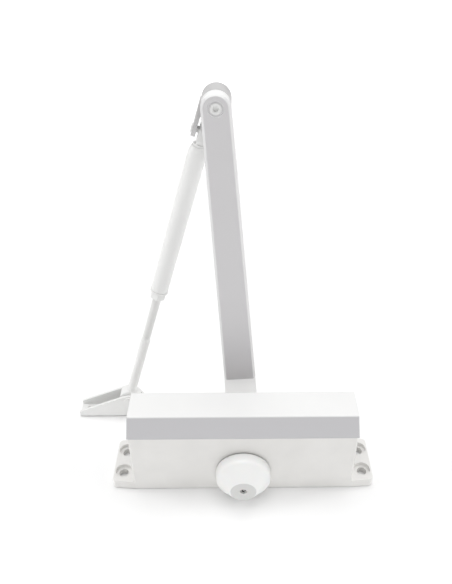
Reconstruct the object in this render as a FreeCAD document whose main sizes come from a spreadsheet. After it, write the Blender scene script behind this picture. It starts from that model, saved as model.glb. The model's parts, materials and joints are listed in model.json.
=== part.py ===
"""Overhead door closer: rack-and-pinion hydraulic body, folding two-link arm and foot bracket.

X runs along the body, Y along the pinion from the cap side to the arm side, and Z away from the
mounting surface. The origin is the centre of the four screw holes, on the mounting surface.
"""
import FreeCAD, Part
import math
import os
import re

import Sketcher

# Every driving size, in millimetres and degrees.
SIZES = {
    # mounting pattern in the two flanges
    "hole_inset": 9.0,
    "hole_pitch_wide": 19.0,
    "screw_hole_diameter": 6.8,
    "counterbore_diameter": 11.6,
    "counterbore_depth": 2.8,
    # cast housing
    "housing_length": 157.0,
    "bore_side_wall": 3.0,
    "bore_roof": 8.0,
    "flange_reach": 15.75,
    "flange_taper": 1.2,
    "flange_thickness": 7.0,
    "flange_corner_radius": 3.0,
    "housing_edge_radius": 1.2,
    # hydraulic cylinder
    "bore_diameter": 34.0,
    "plug_length": 12.0,
    "plug_land": 2.0,
    "plug_socket_width": 14.0,
    "plug_socket_depth": 6.0,
    "spring_boss_length": 3.0,
    "seal_groove_depth": 2.2,
    "seal_groove_width": 3.0,
    "port_setback": 4.0,
    # front cover and its clips
    "cover_overhang": 0.6,
    "cover_lip": 1.0,
    "cover_height": 12.3,
    "cover_top_width": 23.0,
    "cover_wall": 1.6,
    "cover_edge_radius": 2.4,
    "clip_position": 45.0,
    "clip_width": 16.0,
    "clip_sheet": 0.8,
    "clip_leg_offset": 9.2,
    "clip_hook_reach": 12.2,
    "clip_hook_height": 6.7,
    "clip_screw_diameter": 4.0,
    "clip_screw_depth": 5.5,
    "clip_screw_head_diameter": 7.6,
    "clip_screw_head_length": 2.2,
    "clip_screw_head_bevel": 0.6,
    "screw_slot_width": 0.8,
    "screw_slot_depth": 1.0,
    # pinion, rack and bearings
    "pinion_height": 19.5,
    "pinion_module": 1.25,
    "pinion_teeth": 12,
    "root_factor": 1.3,
    "pressure_angle": 25.0,
    "tooth_backlash": 0.2,
    "rack_drop": 0.5,
    "gear_side_gap": 1.0,
    "rack_inset": 1.0,
    "journal_diameter": 12.0,
    "bush_inset": 7.0,
    "bush_length": 3.6,
    "shaft_seal_length": 1.6,
    "retainer_length": 2.2,
    "spanner_hole_floor": 0.5,
    "spanner_hole_share": 0.3,
    # piston
    "spring_side_head": 10.0,
    "oil_side_head": 20.0,
    "piston_land": 4.0,
    "window_gap": 0.6,
    "check_ball_diameter": 4.8,
    "check_passage_diameter": 3.0,
    "check_chamber_length": 9.0,
    "check_seat_diameter": 10.0,
    "check_seat_length": 3.0,
    # return spring
    "spring_side_gap": 2.0,
    "spring_wire_diameter": 4.0,
    "spring_turns": 5.5,
    # regulating valves
    "valve_diameter": 6.0,
    "valve_length": 12.0,
    "valve_seal_start": 3.0,
    "valve_seal_width": 1.2,
    "valve_seal_depth": 1.0,
    "needle_length": 2.0,
    "needle_tip_radius": 0.3,
    "valve_spacing": 16.0,
    "gallery_floor": 0.5,
    "gallery_diameter": 3.0,
    "port_diameter": 2.0,
    # pinion cap
    "cap_diameter": 38.4,
    "cap_gap": 0.8,
    "cap_length": 17.7,
    "cap_rim_length": 7.2,
    "cap_shoulder_diameter": 29.2,
    "cap_shoulder_length": 10.2,
    "cap_step_length": 1.0,
    "cap_step_inset": 1.7,
    "cap_rim_bevel": 1.0,
    "cap_tip_diameter": 18.0,
    "cap_wall": 2.0,
    "cap_boss_wall": 3.0,
    "cap_tenon_setback": 7.5,
    "cap_screw_diameter": 3.0,
    "cap_screw_head_lip": 0.9,
    "cap_screw_recess": 0.4,
    "cap_screw_seat_depth": 2.2,
    "cap_screw_length": 17.0,
    "cross_slot_length": 3.0,
    "cross_slot_width": 0.7,
    "cross_slot_depth": 1.0,
    # main arm
    "arm_length": 238.5,
    "arm_rest_angle": 3.63,
    "arm_swing_angle": 170.0,
    "arm_stand_off": 22.5,
    "arm_thickness": 7.5,
    "arm_crank": 15.5,
    "crank_end": 29.0,
    "arm_hub_diameter": 24.6,
    "arm_tip_diameter": 18.0,
    "arm_bevel": 1.6,
    "arm_screw_diameter": 6.0,
    "arm_screw_head_diameter": 10.4,
    "arm_screw_head_length": 4.0,
    "arm_screw_head_bevel": 0.5,
    "arm_screw_depth": 12.0,
    "arm_screw_key": 5.0,
    "arm_screw_key_depth": 2.6,
    "arm_washer_diameter": 14.0,
    "arm_washer_thickness": 1.2,
    # elbow
    "rivet_diameter": 6.0,
    "rivet_hole_diameter": 2.7,
    "rivet_head_lip": 0.7,
    "rivet_head_length": 0.9,
    "rivet_head_bevel": 0.4,
    "rivet_tail_lip": 2.0,
    "rivet_tail_length": 1.5,
    "rivet_tail_bevel": 0.6,
    "dimple_margin": 1.0,
    "dimple_depth": 0.7,
    "elbow_washer_diameter": 16.0,
    "elbow_washer_thickness": 0.8,
    "knuckle_diameter": 18.0,
    "knuckle_width": 14.0,
    "knuckle_round": 1.4,
    "fork_width": 13.8,
    "fork_depth": 10.0,
    "fork_slot": 8.6,
    "fork_root": 1.6,
    "tilt_pin_distance": 20.0,
    "tilt_pin_diameter": 4.0,
    "tilt_pin_head_lip": 0.9,
    "tilt_pin_head_length": 0.8,
    "tongue_thickness": 5.4,
    "tongue_depth": 9.2,
    # forearm
    "forearm_rest_angle": 16.9,
    "forearm_offset": 2.6,
    "tube_start": 30.0,
    "tube_end": 144.2,
    "tube_diameter": 12.0,
    "tube_bore": 8.4,
    "tube_nose_lip": 0.5,
    "tube_nose_bevel": 0.7,
    "tube_nose_length": 2.4,
    "tongue_plug_length": 16.0,
    "tongue_neck_length": 1.5,
    "insert_length": 14.6,
    "insert_flange_diameter": 12.8,
    "insert_flange_length": 1.6,
    "insert_flange_bevel": 0.3,
    "thread_diameter": 6.0,
    "thread_start": 112.0,
    "thread_end": 191.0,
    "thread_lead": 0.8,
    "shank_diameter": 7.0,
    "shank_step": 0.5,
    "nut_width": 10.0,
    "nut_length": 5.0,
    # foot bracket
    "foot_pin_height": 16.68,
    "foot_pin_diameter": 5.0,
    "foot_pin_head_diameter": 8.0,
    "foot_pin_head_length": 1.2,
    "eye_diameter": 16.0,
    "eye_width": 9.8,
    "eye_overlap": 3.0,
    "bracket_width": 14.4,
    "bracket_sheet": 2.0,
    "bracket_reach": 41.4,
    "bracket_heel": 10.0,
    "bracket_toe_height": 5.3,
    "bracket_top_height": 22.0,
    "bracket_heel_drop": 9.4,
    "bracket_back_drop": 2.4,
    "bracket_front_drop": 1.3,
    "bracket_fold_radius": 1.4,
    "bracket_hole_diameter": 5.2,
    "bracket_hole_far": 34.8,
    "bracket_hole_near": 14.8,
    # clearances
    "running_fit": 0.05,
    "press_fit": 0.02,
    "face_gap": 0.2,
    "free_gap": 0.3,
    "cut_margin": 1.0,
}

# Places worked out from the driving sizes, as expressions.
HALF_LENGTH = "(housing_length / 2)"
BORE_RADIUS = "(bore_diameter / 2)"
HALF_DEPTH = f"({BORE_RADIUS} + bore_side_wall)"
PITCH_RADIUS = "(pinion_module * pinion_teeth / 2)"
BORE_HEIGHT = f"(pinion_height + {PITCH_RADIUS} + rack_drop)"
HOUSING_HEIGHT = f"({BORE_HEIGHT} + {BORE_RADIUS} + bore_roof)"
GALLERY_HEIGHT = f"({BORE_HEIGHT} + {BORE_RADIUS} + gallery_floor + valve_diameter / 2)"
TIP_RADIUS = "(pinion_module * (pinion_teeth / 2 + 1))"
ROOT_RADIUS = f"({PITCH_RADIUS} - pinion_module * root_factor)"
ARM_SQUARE = "(journal_diameter * 5 / 6)"
CAP_SQUARE = "(journal_diameter * 2 / 3)"
CROSS_BORE_RADIUS = f"({TIP_RADIUS} + 3 * running_fit)"
RACK_PITCH = "(pi * pinion_module)"
RACK_LINE = f"(pinion_height + {PITCH_RADIUS} - {BORE_HEIGHT})"
WINDOW_TOP = f"(pinion_height + {CROSS_BORE_RADIUS} + 2 * face_gap - {BORE_HEIGHT})"
WINDOW_LEFT = f"({TIP_RADIUS} + window_gap)"
STROKE = f"({PITCH_RADIUS} * arm_swing_angle * pi / 180)"
WINDOW_RIGHT = f"({STROKE} + {TIP_RADIUS} + window_gap)"
PISTON_LEFT = f"({WINDOW_LEFT} + spring_side_head)"
PISTON_RIGHT = f"({WINDOW_RIGHT} + oil_side_head)"
BUSH_INNER_END = f"({HALF_DEPTH} - bush_inset)"
HALF_GEAR = f"({BUSH_INNER_END} - gear_side_gap)"
HALF_RACK = f"({HALF_GEAR} - rack_inset)"
BUSH_OUTER_END = f"({BUSH_INNER_END} + bush_length)"
SEAL_OUTER_END = f"({BUSH_OUTER_END} + shaft_seal_length)"
RETAINER_END = f"({SEAL_OUTER_END} + retainer_length)"
SPRING_RADIUS = f"({BORE_RADIUS} - spring_side_gap - spring_wire_diameter / 2)"
SPRING_BOSS_RADIUS = f"({SPRING_RADIUS} - spring_wire_diameter / 2 - 2 * free_gap)"
VALVE_DEPTH = "(valve_length + 2)"
CAP_START = f"({HALF_DEPTH} + cap_gap)"
CAP_END = f"({CAP_START} + cap_length)"
CAP_SCREW_HEAD = "(cap_screw_diameter / 2 + cap_screw_head_lip)"
ARM_FRONT = f"({HALF_DEPTH} + arm_stand_off)"
ARM_BACK = f"({ARM_FRONT} + arm_thickness)"
HUB_FRONT = f"({ARM_FRONT} - arm_crank)"
HUB_BACK = f"({HUB_FRONT} + arm_thickness)"
RIVET_HEAD = "(rivet_diameter / 2 + rivet_head_lip)"
RIVET_TAIL = "(rivet_diameter / 2 + rivet_tail_lip)"
BEND_SHIFT = "(arm_thickness * tan(22.5 * 1deg))"
KNUCKLE_FRONT = f"({ARM_BACK} + elbow_washer_thickness + face_gap)"
KNUCKLE_BACK = f"({KNUCKLE_FRONT} + knuckle_width)"
FOREARM_PLANE = f"({KNUCKLE_FRONT} + knuckle_width / 2)"
ELBOW_X = "(-arm_length * sin(arm_rest_angle * 1deg))"
ELBOW_Z = "(pinion_height + arm_length * cos(arm_rest_angle * 1deg))"
FOREARM_X = f"({ELBOW_X} - forearm_offset * cos(forearm_rest_angle * 1deg))"
FOREARM_Z = f"({ELBOW_Z} + forearm_offset * sin(forearm_rest_angle * 1deg))"
FOREARM_LENGTH = f"(({FOREARM_Z} - foot_pin_height) / cos(forearm_rest_angle * 1deg))"
FOOT_X = f"({FOREARM_X} - {FOREARM_LENGTH} * sin(forearm_rest_angle * 1deg))"
FOOT_Z = "foot_pin_height"
TUBE_CUT = "(tube_end - insert_flange_length)"

# How near a measured edge has to be to count as lying on a plane.
TOLERANCE = 0.01

# Straight pieces that stand for each involute flank.
FLANK_STEPS = 5

# Frames: x, y, z of the origin, then the axis and angle of the turn at rest.
AT_ORIGIN = ("0", "0", "0", None, None)
AT_CYLINDER = ("0", "0", BORE_HEIGHT, None, None)
AT_PINION = ("0", "0", "pinion_height", (0, -1, 0), "arm_rest_angle")
AT_ELBOW = (ELBOW_X, "0", ELBOW_Z, None, None)
AT_FOREARM = (FOREARM_X, FOREARM_PLANE, FOREARM_Z, (0, 1, 0), "forearm_rest_angle")
AT_FOOT = (FOOT_X, FOREARM_PLANE, FOOT_Z, None, None)

ORIGIN_PLANES = {"XY": "XY_Plane", "XZ": "XZ_Plane", "YZ": "YZ_Plane"}

doc = FreeCAD.newDocument("door_closer")
nodes = []


def fill_sheet():
    """Writes each size in its own cell, with its name as the alias."""
    sheet = doc.addObject("Spreadsheet::Sheet", "sizes")
    for row, (name, value) in enumerate(SIZES.items(), start=1):
        sheet.set(f"A{row}", name)
        sheet.set(f"B{row}", str(value))
        sheet.setAlias(f"B{row}", name)
    doc.recompute()


def bind(target, field, text):
    """Binds a property to an expression in which each size name stands for its cell."""
    linked = re.sub(r"[a-z_]\w*", lambda m: "sizes." + m[0] if m[0] in SIZES else m[0], text)
    target.setExpression(field, linked)


def place(target, frame):
    """Binds the placement of a piece to its frame."""
    x, y, z, axis, angle = frame
    if axis:
        target.Placement.Rotation = FreeCAD.Rotation(FreeCAD.Vector(*axis), 1.0)
        bind(target, "Placement.Rotation.Angle", angle)
    for field, text in (("x", x), ("y", y), ("z", z)):
        bind(target, "Placement.Base." + field, text)


def new_body(label, frame=AT_ORIGIN, kept=True):
    """Starts a body in a frame; a kept body is a node of its own."""
    body = doc.addObject("PartDesign::Body", label)
    body.Label = label
    place(body, frame)
    if kept:
        nodes.append(body)
    return body


def group(label, members):
    """Joins separate identical pieces in one node."""
    compound = doc.addObject("Part::Compound", label)
    compound.Label = label
    compound.Links = members
    nodes.append(compound)
    return compound


def origin_part(body, role):
    return [part for part in body.Origin.OriginFeatures if part.Role == role][0]


def new_sketch(body, plane, offset="0"):
    """Starts a sketch on an origin plane of its body, moved along the plane's normal."""
    sketch = body.newObject("Sketcher::SketchObject", body.Name + "_sketch")
    sketch.AttachmentSupport = [(origin_part(body, ORIGIN_PLANES[plane]), "")]
    sketch.MapMode = "FlatFace"
    bind(sketch, "AttachmentOffset.Base.z", offset)
    return sketch


def fix_point(sketch, geometry, end, x, y):
    for kind, text in (("DistanceX", x), ("DistanceY", y)):
        index = sketch.addConstraint(Sketcher.Constraint(kind, -1, 1, geometry, end, 1.0))
        bind(sketch, f"Constraints[{index}]", text)


def fix_radius(sketch, geometry, radius):
    index = sketch.addConstraint(Sketcher.Constraint("Radius", geometry, 1.0))
    bind(sketch, f"Constraints[{index}]", radius)


def polygon(sketch, points):
    """Draws a closed outline whose corners are bound to expressions."""
    count = len(points)
    first = sketch.GeometryCount
    turn = 2 * math.pi / count
    start = [FreeCAD.Vector(math.cos(turn * i), math.sin(turn * i), 0) for i in range(count)]
    for i in range(count):
        sketch.addGeometry(Part.LineSegment(start[i], start[(i + 1) % count]), False)
    for i in range(count):
        joint = ("Coincident", first + i, 2, first + (i + 1) % count, 1)
        sketch.addConstraint(Sketcher.Constraint(*joint))
        fix_point(sketch, first + i, 1, *points[i])


def rectangle(left, right, low, high):
    """Outline function for a rectangle."""
    return lambda sketch: polygon(sketch, [(left, low), (right, low), (right, high), (left, high)])


def square(width):
    return rectangle(f"-({width}) / 2", f"({width}) / 2", f"-({width}) / 2", f"({width}) / 2")


def hexagon(width):
    """Outline function for a hexagon given across its flats."""
    corners = []
    for step in range(6):
        turn = f"{60 * step} * 1deg"
        reach = f"({width}) / 2 / cos(30 * 1deg)"
        corners.append((f"{reach} * cos({turn})", f"{reach} * sin({turn})"))
    return lambda sketch: polygon(sketch, corners)


def circles(centres, radius):
    """Outline function for circles of one radius."""

    def draw(sketch):
        for x, y in centres:
            shape = Part.Circle(FreeCAD.Vector(0, 0, 0), FreeCAD.Vector(0, 0, 1), 1.0)
            index = sketch.addGeometry(shape, False)
            fix_point(sketch, index, 3, x, y)
            fix_radius(sketch, index, radius)

    return draw


def annulus(inner, outer):
    """Outline function for the ring between two circles about the origin."""

    def draw(sketch):
        for radius in (inner, outer):
            circles([("0", "0")], radius)(sketch)

    return draw


def capsule(x, low, low_radius, high, high_radius):
    """Outline function for an upright strip with a round end of its own radius at each end."""

    def draw(sketch):
        normal = FreeCAD.Vector(0, 0, 1)
        half, tall = 5.0, 40.0  # drawn at any size, then held by the constraints
        low_circle = Part.Circle(FreeCAD.Vector(0, 0, 0), normal, half)
        high_circle = Part.Circle(FreeCAD.Vector(0, tall, 0), normal, half)
        sketch.addGeometry(Part.ArcOfCircle(low_circle, math.pi, 2 * math.pi), False)
        sketch.addGeometry(Part.ArcOfCircle(high_circle, 0, math.pi), False)
        for side, start, end in ((half, 0, tall), (-half, tall, 0)):
            line = Part.LineSegment(FreeCAD.Vector(side, start, 0), FreeCAD.Vector(side, end, 0))
            sketch.addGeometry(line, False)
        for a, a_end, b, b_end in ((0, 2, 2, 1), (2, 2, 1, 1), (1, 2, 3, 1), (3, 2, 0, 1)):
            sketch.addConstraint(Sketcher.Constraint("Coincident", a, a_end, b, b_end))
        fix_point(sketch, 0, 3, x, low)
        fix_point(sketch, 1, 3, x, high)
        fix_radius(sketch, 0, low_radius)
        fix_radius(sketch, 1, high_radius)
        for line, level in ((2, low), (3, high)):
            index = sketch.addConstraint(Sketcher.Constraint("DistanceY", -1, 1, line, 1, 1.0))
            bind(sketch, f"Constraints[{index}]", level)
        for line, level in ((2, high), (3, low)):
            index = sketch.addConstraint(Sketcher.Constraint("DistanceY", -1, 1, line, 2, 1.0))
            bind(sketch, f"Constraints[{index}]", level)

    return draw


def pad(body, plane, outline, start, end):
    """Adds an outline between two positions on the axis that crosses its plane."""
    sketch = new_sketch(body, plane, f"-({end})" if plane == "XZ" else start)
    outline(sketch)
    feature = body.newObject("PartDesign::Pad", body.Name + "_pad")
    feature.Profile = sketch
    bind(feature, "Length", f"({end}) - ({start})")
    doc.recompute()
    return feature


def cut(body, plane, outline, start, end):
    """Cuts an outline between two positions on the axis that crosses its plane."""
    sketch = new_sketch(body, plane, f"-({start})" if plane == "XZ" else end)
    outline(sketch)
    before = body.Shape.Volume
    feature = body.newObject("PartDesign::Pocket", body.Name + "_cut")
    feature.Profile = sketch
    bind(feature, "Length", f"({end}) - ({start})")
    doc.recompute()
    if not body.Shape.isValid() or body.Shape.Volume > before - TOLERANCE / 10:
        raise RuntimeError(f"{feature.Name} cuts nothing or breaks its body")
    return feature


def turn(body, axis, profile):
    """Adds a turned solid from (position on the axis, radius) corners."""
    if axis == "X":
        sketch = new_sketch(body, "XY")
        polygon(sketch, [(along, radius) for along, radius in profile])
        line = "H_Axis"
    else:
        sketch = new_sketch(body, "XY" if axis == "Y" else "XZ")
        polygon(sketch, [(radius, along) for along, radius in profile])
        line = "V_Axis"
    feature = body.newObject("PartDesign::Revolution", body.Name + "_turned")
    feature.Profile = sketch
    feature.ReferenceAxis = (sketch, [line])
    feature.Angle = 360
    doc.recompute()
    return feature


def tube_profile(start, end, inner, outer):
    return [(start, inner), (start, outer), (end, outer), (end, inner)]


def turned(label, axis, profile, frame, kept=True):
    body = new_body(label, frame, kept)
    turn(body, axis, profile)
    return body


def ring(label, axis, frame, centre, mean_radius, wire_radius):
    """A round-section ring about an axis, for rubber seals."""
    body = new_body(label, frame, kept=False)
    sketch = new_sketch(body, "XY")
    spot = (centre, mean_radius) if axis == "X" else (mean_radius, centre)
    circles([spot], wire_radius)(sketch)
    feature = body.newObject("PartDesign::Revolution", label + "_turned")
    feature.Profile = sketch
    feature.ReferenceAxis = (sketch, ["H_Axis" if axis == "X" else "V_Axis"])
    feature.Angle = 360
    doc.recompute()
    return body


def straight_edges(feature, direction, test):
    """Names the straight edges along a direction whose middle passes the test."""
    wanted = FreeCAD.Vector(*direction)
    names = []
    for number, edge in enumerate(feature.Shape.Edges, start=1):
        if edge.Curve.TypeId != "Part::GeomLine":
            continue
        along = edge.tangentAt(edge.FirstParameter)
        middle = edge.valueAt((edge.FirstParameter + edge.LastParameter) / 2)
        if abs(abs(along.dot(wanted)) - 1) < 1e-3 and test(middle):
            names.append(f"Edge{number}")
    return names


def dress(body, kind, edges, field, size):
    """Rounds or bevels named edges of the body's last feature."""
    base = body.Tip
    feature = body.newObject("PartDesign::" + kind, body.Name + "_" + kind.lower())
    feature.Base = (base, edges)
    bind(feature, field, size)
    doc.recompute()
    return feature


def number(name):
    """Reads one size back from the sheet."""
    return float(doc.getObject("sizes").get(name))


def value_of(text):
    """Works out an expression of the sheet's sizes as a number."""
    sheet = doc.getObject("sizes")
    sheet.set("D1", "=" + text)
    doc.recompute()
    return float(sheet.get("D1"))


def mirrored_pairs(x, y):
    return [(f"{a}({x})", f"{b}({y})") for a in ("-", "") for b in ("-", "")]


def make_housing():
    body = new_body("housing")
    end, side = f"({HALF_LENGTH} + flange_reach)", f"({HALF_DEPTH} - flange_taper)"
    plate = [(f"-{end}", f"-{side}"), (f"-{HALF_LENGTH}", f"-{HALF_DEPTH}")]
    plate += [(HALF_LENGTH, f"-{HALF_DEPTH}"), (end, f"-{side}")]
    plate += [(end, side), (HALF_LENGTH, HALF_DEPTH)]
    plate += [(f"-{HALF_LENGTH}", HALF_DEPTH), (f"-{end}", side)]
    block = rectangle(f"-{HALF_LENGTH}", HALF_LENGTH, f"-{HALF_DEPTH}", HALF_DEPTH)
    pad(body, "XY", block, "0", HOUSING_HEIGHT)
    upright = straight_edges(body.Tip, (0, 0, 1), lambda p: True)
    dress(body, "Fillet", upright, "Radius", "housing_edge_radius")
    pad(body, "XY", lambda sketch: polygon(sketch, plate), "0", "flange_thickness")
    reach = value_of(end) - TOLERANCE
    corners = straight_edges(body.Tip, (0, 0, 1), lambda p: abs(p.x) > reach)
    dress(body, "Fillet", corners, "Radius", "flange_corner_radius")
    holes = mirrored_pairs(f"{HALF_LENGTH} + hole_inset", "hole_pitch_wide / 2")
    cut(body, "XY", circles(holes, "screw_hole_diameter / 2"), "-cut_margin", "flange_thickness")
    step = "flange_thickness - counterbore_depth"
    cut(body, "XY", circles(holes, "counterbore_diameter / 2"), step, "flange_thickness")
    cylinder = circles([("0", BORE_HEIGHT)], BORE_RADIUS)
    cut(body, "YZ", cylinder, f"-{HALF_LENGTH} - cut_margin", f"{HALF_LENGTH} + cut_margin")
    cross_bore = circles([("0", "pinion_height")], CROSS_BORE_RADIUS)
    cut(body, "XZ", cross_bore, f"-{HALF_DEPTH} - cut_margin", f"{HALF_DEPTH} + cut_margin")
    valves = [(f"{side}valve_spacing / 2", GALLERY_HEIGHT) for side in ("-", "")]
    seat = f"{HALF_LENGTH} - {VALVE_DEPTH}"
    cut(body, "YZ", circles(valves, "valve_diameter / 2"), seat, f"{HALF_LENGTH} + cut_margin")
    cut(body, "YZ", circles(valves, "gallery_diameter / 2"), "-plug_length", seat)
    ports = [(x, f"{side}valve_spacing / 2") for x in ("0", f"{seat} - port_setback") for side in ("-", "")]
    cut(body, "XY", circles(ports, "port_diameter / 2"), BORE_HEIGHT, GALLERY_HEIGHT)
    taps = [("-clip_position", "0"), ("clip_position", "0")]
    depth = f"{HOUSING_HEIGHT} - clip_screw_depth - free_gap"
    cut(body, "XY", circles(taps, "clip_screw_diameter / 2"), depth, HOUSING_HEIGHT)


def make_cover():
    body = new_body("front_cover", ("0", "0", HOUSING_HEIGHT, None, None))
    foot, brow = f"({HALF_DEPTH} + cover_overhang)", "(cover_top_width / 2)"
    end = f"({HALF_LENGTH} + cover_overhang)"
    outer = [(f"-{foot}", "0"), (foot, "0"), (foot, "cover_lip"), (brow, "cover_height")]
    outer += [(f"-{brow}", "cover_height"), (f"-{foot}", "cover_lip")]
    pad(body, "YZ", lambda sketch: polygon(sketch, outer), f"-{end}", end)
    top = number("cover_height")
    brows = straight_edges(body.Tip, (1, 0, 0), lambda p: p.z > top - TOLERANCE)
    dress(body, "Fillet", brows, "Radius", "cover_edge_radius")
    inner_foot = f"({foot} - 1.25 * cover_wall)"
    inner_brow = f"({brow} - 0.5 * cover_wall)"
    ceiling = "cover_height - cover_wall"
    inner = [(f"-{inner_foot}", "-cut_margin"), (inner_foot, "-cut_margin"), (inner_foot, "cover_lip")]
    inner += [(inner_brow, ceiling), (f"-{inner_brow}", ceiling), (f"-{inner_foot}", "cover_lip")]
    hollow = lambda sketch: polygon(sketch, inner)
    cut(body, "YZ", hollow, f"-{end} + cover_wall", f"{end} - cover_wall")
    rib_top = "clip_hook_height - free_gap"
    rib_low = "clip_hook_height - free_gap - clip_sheet"
    rib_tip = "(clip_hook_reach - 4 * face_gap)"
    fall = f"({inner_foot} - {inner_brow}) / ({ceiling} - cover_lip)"
    slope = f"({inner_foot} - ({rib_top} - cover_lip) * {fall})"
    for side in ("-", ""):
        for place_x in ("-clip_position", "clip_position"):
            corners = [(f"{side}{rib_tip}", rib_low), (f"{side}({slope} + cover_wall)", rib_low)]
            corners += [(f"{side}({slope} + cover_wall / 2)", rib_top), (f"{side}{rib_tip}", rib_top)]
            start, stop = f"{place_x} - clip_width / 2", f"{place_x} + clip_width / 2"
            pad(body, "YZ", lambda sketch: polygon(sketch, corners), start, stop)


def make_cover_clips():
    """Two sprung straps on the housing, whose hooks hold the ribs of the cover."""
    leg, sheet = "clip_leg_offset", "clip_sheet"
    hook_low, hook_top = "clip_hook_height", "(clip_hook_height + clip_sheet)"
    half = [(f"{leg} + {sheet}", "0"), (f"{leg} + {sheet}", hook_low), ("clip_hook_reach", hook_low)]
    half += [("clip_hook_reach", hook_top), (leg, hook_top), (leg, sheet)]
    outline = half + [(f"-({y})", z) for y, z in reversed(half)]
    clips = []
    screws = []
    for side in ("-", ""):
        at_clip = (f"{side}clip_position", "0", HOUSING_HEIGHT, None, None)
        clip = new_body("cover_clip", at_clip, kept=False)
        pad(clip, "YZ", lambda sketch: polygon(sketch, outline), "-clip_width / 2", "clip_width / 2")
        hole = circles([("0", "0")], "clip_screw_diameter / 2 + running_fit")
        cut(clip, "XY", hole, "-cut_margin", f"{sheet} + cut_margin")
        clips.append(clip)
        shank, head = "clip_screw_diameter / 2 - press_fit", "clip_screw_head_diameter / 2"
        top = f"({sheet} + clip_screw_head_length)"
        profile = [("-clip_screw_depth", "0"), ("-clip_screw_depth", shank), (sheet, shank)]
        profile += [(sheet, head), (f"{top} - clip_screw_head_bevel", head)]
        profile += [(top, f"{head} - clip_screw_head_bevel"), (top, "0")]
        screw = turned("cover_clip_screw", "Z", profile, at_clip, kept=False)
        slot = rectangle(f"-{head}", head, "-screw_slot_width / 2", "screw_slot_width / 2")
        cut(screw, "XY", slot, f"{top} - screw_slot_depth", f"{top} + cut_margin")
        screws.append(screw)
    group("cover_clips", clips)
    group("cover_clip_screws", screws)


def plug_profile(boss_length):
    """Outline of an end plug, from its outer face inwards, with a groove for its seal."""
    radius = f"({BORE_RADIUS} - press_fit)"
    floor = f"({BORE_RADIUS} - seal_groove_depth)"
    groove = "(plug_length - plug_land - seal_groove_width)"
    corners = [("0", "0"), ("0", radius), (groove, radius), (groove, floor)]
    corners += [(f"{groove} + seal_groove_width", floor), (f"{groove} + seal_groove_width", radius)]
    corners += [("plug_length", radius)]
    if boss_length:
        corners += [("plug_length", SPRING_BOSS_RADIUS)]
        corners += [(f"plug_length + {boss_length}", SPRING_BOSS_RADIUS)]
        corners += [(f"plug_length + {boss_length}", "0")]
    else:
        corners += [("plug_length", "0")]
    return corners


def make_end_plugs():
    wire = "(seal_groove_depth / 2 - press_fit)"
    middle = f"({BORE_RADIUS} - seal_groove_depth / 2)"
    centre = "plug_length - plug_land - seal_groove_width / 2"
    seals = []
    plugs = (("spring_plug", f"-{HALF_LENGTH}", None, "spring_boss_length"),
             ("oil_plug", HALF_LENGTH, (0, 0, 1), ""))
    for label, x, axis, boss in plugs:
        frame = (x, "0", BORE_HEIGHT, axis, "180" if axis else None)
        plug = turned(label, "X", plug_profile(boss), frame)
        cut(plug, "YZ", hexagon("plug_socket_width"), "-cut_margin", "plug_socket_depth")
        seals.append(ring("plug_seal", "X", frame, centre, middle, wire))
    group("plug_seals", seals)


def make_piston():
    body = new_body("piston", AT_CYLINDER)
    radius = f"({BORE_RADIUS} - running_fit)"
    floor = f"({BORE_RADIUS} - seal_groove_depth)"
    groove = f"({PISTON_RIGHT} - piston_land - seal_groove_width)"
    profile = [(f"-{PISTON_LEFT} - spring_boss_length", "0")]
    profile += [(f"-{PISTON_LEFT} - spring_boss_length", SPRING_BOSS_RADIUS)]
    profile += [(f"-{PISTON_LEFT}", SPRING_BOSS_RADIUS), (f"-{PISTON_LEFT}", radius)]
    profile += [(groove, radius), (groove, floor), (f"{groove} + seal_groove_width", floor)]
    profile += [(f"{groove} + seal_groove_width", radius), (PISTON_RIGHT, radius), (PISTON_RIGHT, "0")]
    turn(body, "X", profile)
    past = f"({BORE_RADIUS} + cut_margin)"
    window = rectangle(f"-{WINDOW_LEFT}", WINDOW_RIGHT, f"-{past}", WINDOW_TOP)
    cut(body, "XZ", window, f"-{past}", past)
    make_rack(body)
    chamber = f"({PISTON_RIGHT} - check_seat_length)"
    seat = f"({chamber} - check_chamber_length)"
    axis = [("0", "0")]
    cut(body, "YZ", circles(axis, "check_seat_diameter / 2"), chamber, f"{PISTON_RIGHT} + cut_margin")
    cut(body, "YZ", circles(axis, "check_ball_diameter / 2 + 2 * free_gap"), seat, chamber)
    passage = circles(axis, "check_passage_diameter / 2")
    cut(body, "YZ", passage, f"{WINDOW_RIGHT} - cut_margin", seat)
    hole = "check_passage_diameter / 2"
    outer = "check_seat_diameter / 2 - press_fit"
    turned("check_valve_seat", "X", tube_profile(chamber, PISTON_RIGHT, hole, outer), AT_CYLINDER)
    ball = doc.addObject("Part::Sphere", "check_valve_ball")
    ball.Label = "check_valve_ball"
    bind(ball, "Radius", "check_ball_diameter / 2")
    rest = f"{seat} + sqrt(check_ball_diameter^2 - check_passage_diameter^2) / 2 + running_fit"
    place(ball, (rest, "0", BORE_HEIGHT, None, None))
    nodes.append(ball)
    lip = f"({BORE_RADIUS} - seal_groove_depth + press_fit)"
    skirt = f"({BORE_RADIUS} - press_fit)"
    seal = tube_profile(f"{groove} + press_fit", f"{groove} + seal_groove_width - press_fit", lip, skirt)
    turned("piston_seal", "X", seal, AT_CYLINDER)


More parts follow.
